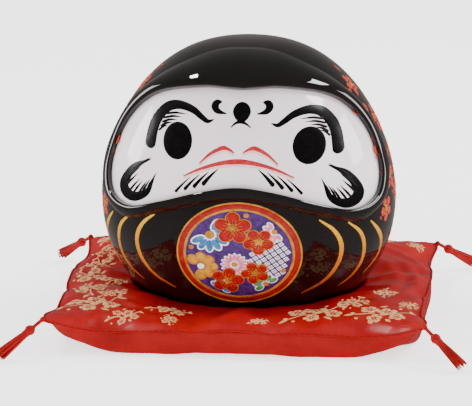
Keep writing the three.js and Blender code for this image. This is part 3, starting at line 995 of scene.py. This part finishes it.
def pillow_start():
    """The sewn cover before it is filled out: an upper and an under sheet on the same grid, sharing a rim."""
    u = np.linspace(-1, 1, CELLS + 1)
    u = 0.62 * u + 0.38 * np.sin(u * math.pi / 2)
    a, b = np.meshgrid(u, u, indexing="ij")
    far = np.maximum(np.abs(a), np.abs(b))

    def flat(a, b):
        x = HALF * a - EDGE_PULL * np.sign(a) * np.abs(a) ** 3 * (1 - b**2)
        y = HALF * b - EDGE_PULL * np.sign(b) * np.abs(b) ** 3 * (1 - a**2)
        return x, y

    x, y = flat(a, b)
    seam_height = SEAM - FRONT_SAG * np.clip((0.25 - b) / 1.25, 0, 1) ** 1.4 * (1 - np.abs(a) ** 5)
    seam_height -= SIDE_SAG * np.abs(a) ** 4 * (1 - np.abs(b) ** 5)
    soft = (np.abs(a) ** 5 + np.abs(b) ** 5).clip(0, 1)
    z = seam_height + START_PUFF * (1 - soft) ** 0.6
    upper = np.stack([x, y, np.minimum(z, doll_limit(x, y))], -1)
    flat_share, wall_start = 0.968, 0.84
    turn = np.clip((far - wall_start) / (1 - wall_start), 0, 1) * math.pi / 2
    share = np.where(
        far < wall_start, far / wall_start * flat_share, flat_share + (1 - flat_share) * np.sin(turn)
    ) / np.maximum(far, 1e-6)
    x, y = flat(a * share, b * share)
    from_corner = np.maximum(HALF - np.abs(x), HALF - np.abs(y))
    deep = (seam_height - 0.3) * (1 - np.exp(-from_corner / CORNER_TAPER))
    under = np.stack([x, y, seam_height - deep * np.cos(turn)], -1)
    edge = far > 1 - 1e-9
    under[edge] = upper[edge]
    return upper, under, far


def fill_out(upper, under, far):
    """The cover filled by Cloth pressure, each point moved by no more than the cap."""
    n = CELLS + 1
    ids_upper = np.arange(n * n).reshape(n, n)
    edge = far > 1 - 1e-9
    ids_under = ids_upper.copy()
    ids_under[~edge] = n * n + np.arange((~edge).sum())
    points = np.concatenate([upper.reshape(-1, 3), under[~edge]])
    faces = []
    for ids, flip in ((ids_upper, False), (ids_under, True)):
        quads = np.stack([ids[:-1, :-1], ids[1:, :-1], ids[1:, 1:], ids[:-1, 1:]], -1).reshape(-1, 4)
        faces += [tuple(map(int, q[::-1] if flip else q)) for q in quads]
    data = bpy.data.meshes.new("cover_start")
    data.from_pydata((points * MM * SIM_SCALE).tolist(), [], faces)
    made = bpy.data.objects.new("cover_start", data)
    bpy.context.scene.collection.objects.link(made)
    touching = upper[..., 2] > doll_limit(upper[..., 0], upper[..., 1]) - 0.05
    corner = (np.abs(upper[..., 0]) > HALF - 1) & (np.abs(upper[..., 1]) > HALF - 1)
    held = made.vertex_groups.new(name="held")
    held.add([int(i) for i in ids_upper[touching | corner]], 1.0, "REPLACE")
    held.add([int(i) for i in ids_under[(far < 0.72) & ~edge]], 1.0, "REPLACE")
    cloth = made.modifiers.new("Cloth", "CLOTH")
    settings = cloth.settings
    settings.quality = 5
    settings.mass = 0.25
    settings.tension_stiffness = settings.compression_stiffness = 18
    settings.shear_stiffness = 8
    settings.bending_stiffness = 0.35
    settings.use_pressure = True
    settings.uniform_pressure_force = 4.0
    settings.shrink_min = -0.07
    settings.vertex_group_mass = "held"
    settings.effector_weights.gravity = 0
    scene = bpy.context.scene
    for step in range(1, SIM_FRAMES + 1):
        scene.frame_set(step)
    shown = made.evaluated_get(bpy.context.evaluated_depsgraph_get())
    result = np.empty(len(points) * 3)
    shown.data.vertices.foreach_get("co", result)
    result = result.reshape(-1, 3) / SIM_SCALE / MM
    scene.frame_set(1)
    bpy.data.objects.remove(made)
    bpy.data.meshes.remove(data)
    moved = result - points
    length = np.linalg.norm(moved, axis=1, keepdims=True)
    reach = np.concatenate([far.ravel(), far[~edge]])[:, None]
    cap = 3.4 - 1.6 * reach**6
    moved *= np.minimum(1, cap / np.maximum(length, 1e-9))
    sheets = []
    for ids, start in ((ids_upper, upper), (ids_under, under)):
        field = moved[ids]
        for _ in range(3):
            wide = np.pad(field, ((1, 1), (1, 1), (0, 0)), "edge")
            field = (wide[:-2, 1:-1] + wide[2:, 1:-1] + wide[1:-1, :-2] + wide[1:-1, 2:] + 2 * field) / 6
        sheets.append(start + field)
    sheets[1][..., 2] = np.minimum(sheets[1][..., 2], under[..., 2] + 0.5)
    sheets[1][edge] = sheets[0][edge]
    return sheets


def finer(sheet):
    """The same smooth sheet on a grid twice as fine."""
    for axis in (0, 1):
        rows = np.moveaxis(sheet, axis, 0)
        padded_rows = np.concatenate([2 * rows[:1] - rows[1:2], rows, 2 * rows[-1:] - rows[-2:-1]])
        between = (9 * (padded_rows[1:-2] + padded_rows[2:-1]) - padded_rows[:-3] - padded_rows[3:]) / 16
        made = np.empty((2 * len(rows) - 1, *rows.shape[1:]))
        made[::2], made[1::2] = rows, between
        sheet = np.moveaxis(made, 0, axis)
    return sheet


def sheet_normals(sheet):
    """Unit normals of a grid sheet, upwards for the upper one."""
    n = np.cross(np.gradient(sheet, axis=0), np.gradient(sheet, axis=1))
    return n / np.maximum(np.linalg.norm(n, axis=-1, keepdims=True), 1e-9)


upper, under, far = pillow_start()
upper, under = fill_out(upper, under, far)


def rounded_corners(sheet, fixed):
    """The sheet relaxed near its four corners, where a filled cover has no crease."""
    corner = np.maximum(HALF - np.abs(sheet[..., 0]), HALF - np.abs(sheet[..., 1]))
    weight = (np.exp(-((corner / CORNER_ROUND) ** 2)) * ~fixed)[..., None]
    for _ in range(40):
        wide = np.pad(sheet, ((1, 1), (1, 1), (0, 0)), "edge")
        near = (wide[:-2, 1:-1] + wide[2:, 1:-1] + wide[1:-1, :-2] + wide[1:-1, 2:]) / 4
        sheet = sheet + (near - sheet) * weight * 0.8
    return sheet


under = rounded_corners(under, far > 1 - 1e-9)
upper, under, far = finer(upper), finer(under), finer(far[..., None])[..., 0]
far = far.clip(0, 1)


def creases(x, y, far):
    """Folds that the doll's weight and the corners' stitching draw into the upper cover."""
    reach = np.hypot(x, y / DEPTH)
    turn = np.arctan2(y, x)
    near_rim = np.exp(-((1 - far) * HALF) / 7)
    along = np.where(np.abs(x) > np.abs(y), y, x)
    gather = 0.28 * np.sin(along * 0.62 + 1.7 * np.sin(along * 0.11)) * near_rim * (1 - near_rim) * 3
    rings = 0.0
    for middle, wide, out, tall, count in (
        (-0.1, 0.6, 67, 0.5, 8.5), (0.75, 0.4, 74, 0.5, 9.0), (2.6, 0.7, 68, 0.75, 6.0),
        (-2.4, 0.4, 74, 0.35, 8.0),
    ):
        gap = np.angle(np.exp(1j * (turn - middle)))
        rings = rings + tall * np.exp(-((gap / wide) ** 2) - ((reach - out) / 9) ** 2) * np.sin(
            (reach - out) * TURN / count + 0.8 * np.sin(turn * 3)
        )
    drag = 0.5 * np.exp(-((reach - 62) / 12) ** 2) * np.sin(turn * 15 + 2.2 * np.sin(turn * 4) + reach * 0.1)
    return (gather + rings + drag) * np.clip((1 - far) * 12, 0, 1)


x, y = upper[..., 0], upper[..., 1]
upper[..., 2] += creases(x, y, far)
limit = doll_limit(x, y)
upper[..., 2] = np.minimum(upper[..., 2], limit)
wall = np.sin(np.clip(under[..., 2] / SEAM, 0, 1) * math.pi)
outward = -sheet_normals(under)
along = np.where(np.abs(under[..., 0]) > np.abs(under[..., 1]), under[..., 1], under[..., 0])
ripple = 0.16 * np.sin(along * 0.42 + 2 * np.sin(along * 0.13)) + 0.05 * np.sin(along * 1.1 + 1)
under = under + outward * (ripple * wall)[..., None]
under[..., 2] = np.maximum(under[..., 2], 0.25)
edge = far > 1 - 1e-6
under[edge] = upper[edge]

brocade = woven("brocade_red", linear(132, 0, 2), linear(178, 0, 3), 1100, (0.26, 0.4), 0.0, 0.35, 0.6,
    0.3, 0.45)
satin = woven("satin_red", linear(116, 0, 0), linear(152, 0, 0), 1500, (0.34, 0.46), 0.0, 0.3, 0.0,
    0.25, 0.18)
gold_thread = woven("gold_thread", linear(196, 124, 66), linear(238, 182, 122), 1300, (0.34, 0.5), 0.3,
    1.0, 0.8, 0.0)
wadding = woven("wadding_white", linear(214, 210, 202), linear(244, 242, 238), 200, (0.8, 0.95), 0.2, 0.2)
silk = woven("silk_red", linear(122, 0, 0), linear(172, 4, 2), 1200, (0.34, 0.5), 0.02, 0.8, 0.5, 0.0)


def cover(name, sheet, out, mat, node):
    """A cloth sheet as a closed thin shell."""
    normal = sheet_normals(sheet) * out
    fade = np.clip((1 - far) * HALF / 3, 0.15, 1)[..., None]
    back = sheet - normal * FABRIC * fade
    n = sheet.shape[0]
    points = np.concatenate([sheet.reshape(-1, 3), back.reshape(-1, 3)]) * MM
    faces = grid_faces(n, n)
    m = n * n
    faces += [tuple(i + m for i in reversed(f)) for f in faces]
    ids = [*range(0, n), *range(2 * n - 1, n * n, n), *range(n * n - 2, n * n - n - 1, -1)]
    ids += list(range(n * n - 2 * n, 0, -n))
    faces += walls(ids, m)
    return add_mesh(name, points, faces, "cushion", mat, node), points[:m], ids


top_cover, top_points, rim_ids = cover("cushion_brocade_top", upper, 1, brocade,
    "cushion_top_panel")
bottom_cover, _, _ = cover("cushion_satin_underside", under, -1, satin, "cushion_bottom_panel")


def build_wadding():
    """The filling, a lumpy closed pad inside the two covers."""
    n = upper.shape[0]
    keep = slice(n // 8, n - n // 8, 2)
    over, below = upper[keep, keep].copy(), under[keep, keep].copy()
    up, down = sheet_normals(upper)[keep, keep], sheet_normals(under)[keep, keep]
    down = -down
    lumps = 0.2 * np.sin(over[..., 0] * 0.5) * np.sin(over[..., 1] * 0.45)
    over -= up * (FABRIC + 0.6 + lumps)[..., None]
    below -= down * (FABRIC + 0.9 + lumps)[..., None]
    m = over.shape[0]
    ids = np.arange(m * m).reshape(m, m)
    faces = grid_faces(m, m)
    faces += [tuple(i + m * m for i in reversed(f)) for f in faces]
    ring = [*ids[0, :-1], *ids[:-1, -1], *ids[-1, :0:-1], *ids[:0:-1, 0]]
    faces += walls(ring, m * m)
    points = np.concatenate([over.reshape(-1, 3), below.reshape(-1, 3)]) * MM
    return add_mesh("cushion_wadding", points, faces, "cushion", wadding, "cushion_filling")


wadding_pad = build_wadding()
rim = top_points[rim_ids]
centre = rim.mean(axis=0)
seam = Pile()
seam.add(*rope(rim, 0.5 * MM, 7, closed=True))
seam.build("cushion_seam_fold", "cushion", satin)
stitches = Pile()
length = np.concatenate([[0], np.cumsum(np.linalg.norm(np.diff(np.vstack([rim, rim[:1]]), axis=0), axis=1))])
loop = np.vstack([rim, rim[:1]])
for start in np.arange(1.0, length[-1] / MM - 1, 2.6) * MM:
    spots = [[np.interp(start + d * MM, length, loop[:, k]) for k in range(3)] for d in np.linspace(0,
        1.7, 4)]
    spots = np.array(spots)
    spots += (spots - centre) * [1, 1, 0] * 0.004
    spots[:, 2] += np.array([-0.1, 0.34, 0.34, -0.1]) * MM
    stitches.add(*rope(spots, 0.16 * MM, 5))
stitches.build("cushion_stitches", "cushion", silk)

# ---- Blossoms woven into the brocade -----------------------------------------------------------

cover_tree = BVHTree.FromPolygons([Vector(p) for p in top_points], grid_faces(upper.shape[0], upper.shape[0]))


def on_cushion(cx, cy, turn):
    """A drawing plane laid on the upper cover."""
    c, s = math.cos(turn), math.sin(turn)

    def place(a, b, out=0.0):
        a, b, out = np.broadcast_arrays(np.asarray(a, float), np.asarray(b, float), np.asarray(out, float))
        flat = np.stack([cx + a * c - b * s, cy + a * s + b * c], -1).reshape(-1, 2).clip(-HALF + 3.5,
            HALF - 3.5)
        made = np.empty((len(flat), 3))
        for k, ((px, py), up) in enumerate(zip(flat, out.ravel())):
            spot, normal, _, _ = cover_tree.ray_cast(Vector((px * MM, py * MM, 0.06)), Vector((0, 0, -1)))
            if spot is None:
                spot, normal, _, _ = cover_tree.find_nearest(Vector((px * MM, py * MM, SEAM * MM)))
            if normal.z < 0:
                normal = -normal
            made[k] = spot + normal * up * MM
        return made.reshape(*a.shape, 3)

    return place


def woven_bloom(pile, place, x, y, size, lean):
    """A five-petalled blossom in gold thread with a red heart left open."""
    for k in range(5):
        t = lean + TURN * k / 5
        petal = []
        for reach, side in ((0.24, -0.1), (0.5, -0.34), (0.84, -0.36), (1.0, 0), (0.84, 0.36),
                (0.5, 0.34), (0.24, 0.1)):
            px, py = reach * size, side * size
            petal.append((x + px * math.cos(t) - py * math.sin(t), y + px * math.sin(t) + py * math.cos(t)))
        blob(pile, petal, place, 0.0, 0.16, 0.12, 0, 20, 1.4)
        vein = [(x + r * size * math.cos(t), y + r * size * math.sin(t), w * size) for r,
            w in ((0.1, 0.16), (0.45, 0.14), (0.74, 0.03))]
        stroke(pile, vein, place, 0.0, 0.19, 0.05, 1)
    disc(pile, x, y, size * 0.2, size * 0.2, place, 0.0, 0.22, 0.12, count=10)


def sprig(pile, cx, cy, turn, scale):
    """A spray of blossoms, buds and leaves on a bent twig."""
    place = on_cushion(cx, cy, turn)
    twig = [(-9, -3.5), (-4, -1.4), (0, -2.2), (5, 0.2), (9, 3.6)]
    stroke(pile, [(x * scale, y * scale, 0.55) for x, y in twig], place, 0.0, 0.12, 0.1)
    for x, y, size, lean in ((-4.8, 2.6, 3.5, 0.2), (1.9, 1.9, 3.9, 0.7), (6.6, -3.1, 3.1, 0.1),
            (-1.2, -5.2, 2.9, 0.5)):
        woven_bloom(pile, place, x * scale, y * scale, size * scale, lean)
    for x, y, size in ((-9.8, -2.6, 1.6), (9.9, 5.0, 1.7), (-7.6, -6.4, 1.3), (5.6, 6.6, 1.4)):
        disc(pile, x * scale, y * scale, size * scale, size * scale, place, 0.0, 0.14, 0.1, count=12)
    for x1, y1, x2, y2 in ((-9, -3.5, -12.4, -5.4), (9, 3.6, 12.2, 2.2), (3, -5.6, 5.4, -8.2),
            (-2, 6.4, 0.4, 8.6)):
        a, b = np.array([x1, y1]) * scale, np.array([x2, y2]) * scale
        middle = (a + b) / 2
        stroke(pile, [(*a, 0.2), (*middle, 1.5 * scale), (*b, 0.2)], place, 0.0, 0.14, 0.1)


SPRIGS = [
    (-59, -51, 0.2, 1.22), (-44, -63, 0.0, 0.62), (-27, -54, -0.3, 0.75), (-26, -67, 1.4, 0.4),
    (30, -56, 0.2, 1.16),
    (45, -45, 0.8, 0.7), (57, -57, -0.2, 1.1), (57, -27, 1.2, 0.62), (67, -43, 0.5, 0.42),
    (9, -66, 0.1, 0.36),
    (-62, -29, 1.4, 0.85), (-52, -38, 0.4, 0.6), (-65, -7, 1.8, 0.9), (-54, -14, 0.9, 0.6),
    (-65, 14, 1.3, 0.9),
    (-60, 30, 0.4, 0.8), (-66, 42, 1.9, 0.8), (-51, 46, 0.9, 0.9), (-42, 62, 0.3, 0.9), (-64, 62, 0.7, 0.7),
    (-20, 63, 0.1, 0.8), (5, 63, -0.3, 0.8), (29, 62, 0.4, 0.8), (52, 63, 1.0, 0.5), (66, 60, 1.5, 0.45),
]
figures = Pile()
for cx, cy, turn, scale in SPRIGS:
    sprig(figures, cx, cy, turn, scale)
figures.build("cushion_woven_blossoms", "cushion", [gold_thread, brocade])

# ---- The tassels -------------------------------------------------------------------------------

CORD_END, HEAD_END, NECK_END, TASSEL_END = 5.0, 8.2, 10.0, 24.0
DROOP = math.radians(27.8)


def tassel(place_name, side_x, side_y, rng):
    """A tassel that hangs out and down from one corner: twisted cord, wound neck, and a skirt of threads."""
    turn = Matrix.Translation((side_x * HALF * MM, side_y * HALF * MM, SEAM * MM))
    turn = turn @ Matrix.Rotation(math.atan2(side_y, side_x), 4, "Z") @ Matrix.Rotation(DROOP, 4, "Y")
    turn = np.array(turn)

    def placed(line):
        line = np.asarray(line, float) * MM
        return line @ turn[:3, :3].T + turn[:3, 3]

    body = f"tassel_{place_name}"
    cord = Pile()
    s = np.linspace(-0.6, CORD_END + 0.6, 34)
    for ply in range(3):
        t = s * 2.6 + TURN * ply / 3
        cord.add(*rope(placed(np.stack([s, 0.4 * np.cos(t), 0.4 * np.sin(t)], -1)), 0.38 * MM, 8))
    t = np.linspace(0, TURN, 20, endpoint=False)
    for back in (0.1, -0.5):
        knot = np.stack([np.full(20, back), 0.85 * np.cos(t), 0.85 * np.sin(t)], -1)
        cord.add(*rope(placed(knot), 0.3 * MM, 7, closed=True))
    cord.build(body + "_twisted_cord", body, silk, body + "_cord")

    skirt = Pile()
    share = np.linspace(0, 1, 12)
    for k in range(26):
        t = TURN * k / 26
        s = CORD_END + (HEAD_END + 0.5 - CORD_END) * share
        reach = 0.55 + 1.25 * np.sin(np.pi * share * 0.93) ** 0.8
        line = np.stack([s, reach * np.cos(t), reach * np.sin(t)], -1)
        skirt.add(*rope(placed(line), 0.26 * MM, 6))
    core = [(CORD_END + 0.2 + 3 * v, 0, 0) for v in share]
    skirt.add(*rope(placed(core), np.maximum(1.55 * np.sin(np.pi * share * 0.96 + 0.06), 0.3) * MM, 14))
    s = np.linspace(HEAD_END - 0.2, TASSEL_END - 2.6, 12)
    skirt.add(*rope(placed(np.stack([s, 0 * s, 0 * s], -1)),
        (0.9 + 0.5 * np.sin(np.pi * share * 0.6)) * MM, 14))
    for ring_reach, count in ((0.95, 20), (0.62, 14), (0.3, 7)):
        for k in range(count):
            t = TURN * k / count + rng.uniform(-0.1, 0.1)
            end = TASSEL_END - rng.uniform(0.0, 1.1)
            s = np.linspace(HEAD_END, end, 13)
            w = (s - HEAD_END) / (end - HEAD_END)
            spread = (0.75 + 1.35 * w**0.55 + 0.12 * w) * ring_reach
            wander = rng.uniform(-0.22, 0.22, 2)
            swing = t + 0.25 * w * rng.uniform(-1, 1)
            line = [s, spread * np.cos(swing) + wander[0] * w**2, spread * np.sin(swing) + wander[1] * w**2]
            skirt.add(*rope(placed(np.stack(line, -1)), (0.29 - 0.08 * w) * MM, 6))
    skirt.build(body + "_threads", body, silk, body + "_skirt")

    winding = Pile()
    turns = 3.6
    t = np.linspace(0, TURN * turns, 96)
    s = HEAD_END + 0.15 + (NECK_END - HEAD_END - 0.3) * t / t[-1]
    reach = 1.3
    winding.add(*rope(placed(np.stack([s, reach * np.cos(t), reach * np.sin(t)], -1)), 0.28 * MM, 8))
    winding.build(body + "_winding", body, silk, body + "_binding")


rng = np.random.default_rng(11)
for place_name, side_x, side_y in (
    ("front_left", -1, -1), ("front_right", 1, -1), ("back_left", -1, 1), ("back_right", 1, 1)
):
    tassel(place_name, side_x, side_y, rng)

# ---- Floor, light and camera -------------------------------------------------------------------

FLOOR_HALF, FLOOR_LINES = 6.0, 25


def build_stage():
    """A pale flat floor, open all round so that every side can be seen."""
    line = np.linspace(-FLOOR_HALF, FLOOR_HALF, FLOOR_LINES)
    points = [(x, y, 0.0) for y in line for x in line]
    paper = Look("floor_paper", Roughness=0.85, Emission_Color=(1, 1, 1, 1), Emission_Strength=1.7)
    paper.colour(paper.noise(3.0, 3), (0.3, linear(240, 239, 238)), (0.7, linear(246, 245, 244)))
    made = add_mesh("studio_floor", points, grid_faces(FLOOR_LINES, FLOOR_LINES), None, paper.mat)
    made.visible_glossy = False
    made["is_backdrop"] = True


build_stage()

world = bpy.data.worlds.new("studio")
bpy.context.scene.world = world
world.use_nodes = True
sky = world.node_tree
background = sky.nodes["Background"]
background.inputs["Strength"].default_value = 0.3
gradient = sky.nodes.new("ShaderNodeTexGradient")
gradient.gradient_type = "EASING"
where = sky.nodes.new("ShaderNodeTexCoord")
turned = sky.nodes.new("ShaderNodeMapping")
turned.inputs["Rotation"].default_value = (0, math.radians(90), 0)
turned.inputs["Location"].default_value = (0.5, 0, 0)
sky.links.new(where.outputs["Generated"], turned.inputs["Vector"])
sky.links.new(turned.outputs["Vector"], gradient.inputs["Vector"])
tint = sky.nodes.new("ShaderNodeValToRGB")
tint.color_ramp.elements[0].color = (1.0, 0.93, 0.9, 1)
tint.color_ramp.elements[1].color = (0.8, 0.74, 0.73, 1)
sky.links.new(gradient.outputs["Fac"], tint.inputs["Fac"])
sky.links.new(tint.outputs["Color"], background.inputs["Color"])


def glow(strength, colour=(1, 1, 1, 1)):
    """A sky of one colour."""
    node = sky.nodes.new("ShaderNodeBackground")
    node.inputs["Strength"].default_value = strength
    node.inputs["Color"].default_value = colour
    return node


def by_ray(kind, others, chosen):
    """One sky for rays of a kind and another for the rest."""
    node = sky.nodes.new("ShaderNodeMixShader")
    sky.links.new(path.outputs[kind], node.inputs["Fac"])
    sky.links.new(others.outputs[0], node.inputs[1])
    sky.links.new(chosen.outputs[0], node.inputs[2])
    return node


# The camera sees a bright sky, matt surfaces a soft tent, and the glaze reflects a dimmer room.
path = sky.nodes.new("ShaderNodeLightPath")
lit = by_ray("Is Diffuse Ray", background, glow(1.35, (1.0, 0.985, 0.98, 1)))
sky_shown = by_ray("Is Camera Ray", lit, glow(2.6))
sky.links.new(sky_shown.outputs["Shader"], sky.nodes["World Output"].inputs["Surface"])


def softbox(name, spot, aim, wide, tall, power, colour=(1, 1, 1)):
    """A rectangular light that faces a point."""
    data = bpy.data.lights.new(name, "AREA")
    data.shape = "RECTANGLE"
    data.size, data.size_y, data.energy, data.color = wide, tall, power, colour
    made = bpy.data.objects.new(name, data)
    made.location = spot
    made.rotation_euler = (Vector(aim) - Vector(spot)).to_track_quat("-Z", "Y").to_euler()
    bpy.context.scene.collection.objects.link(made)
    made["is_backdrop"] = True


# The two called front stand far out to each side, a little behind the doll.
AIM = (0, 0, 0.05)
softbox("left_window", (-0.66, 0.16, 1.1), AIM, 0.17, 0.1, 5.0, (1.0, 0.98, 0.96))
softbox("right_window", (0.84, 0.24, 1.0), AIM, 0.5, 0.26, 9.0, (0.97, 0.98, 1.0))
softbox("front_left", (-2.5, 0.7, 0.8), AIM, 0.9, 0.9, 22.0, (1.0, 0.99, 0.98))
softbox("front_right", (2.6, 0.7, 1.0), AIM, 0.9, 0.9, 22.0, (1.0, 0.99, 0.98))

# The viewing angle: a little to the doll's left and a little above, from far off.
AZIMUTH, ELEVATION, DISTANCE = math.radians(5.0), math.radians(12.0), 1.5
LENS, SENSOR = 280.0, 36.0
TARGET_SIDE, TARGET_UP = -0.0053, 0.0463
right = Vector((math.cos(AZIMUTH), math.sin(AZIMUTH), 0))
toward = Vector(
    (math.sin(AZIMUTH) * math.cos(ELEVATION), -math.cos(AZIMUTH) * math.cos(ELEVATION), math.sin(ELEVATION))
)
camera_data = bpy.data.cameras.new("camera")
camera_data.lens, camera_data.sensor_width = LENS, SENSOR
camera_data.clip_end = 20
camera = bpy.data.objects.new("camera", camera_data)
camera.location = right * TARGET_SIDE + Vector((0, 0, TARGET_UP)) + toward * DISTANCE
camera.rotation_euler = (-toward).to_track_quat("-Z", "Y").to_euler()
bpy.context.scene.collection.objects.link(camera)
bpy.context.scene.camera = camera

size = {"cad": [list(c) for c in cad_size], "visual": [list(c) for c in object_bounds()]}
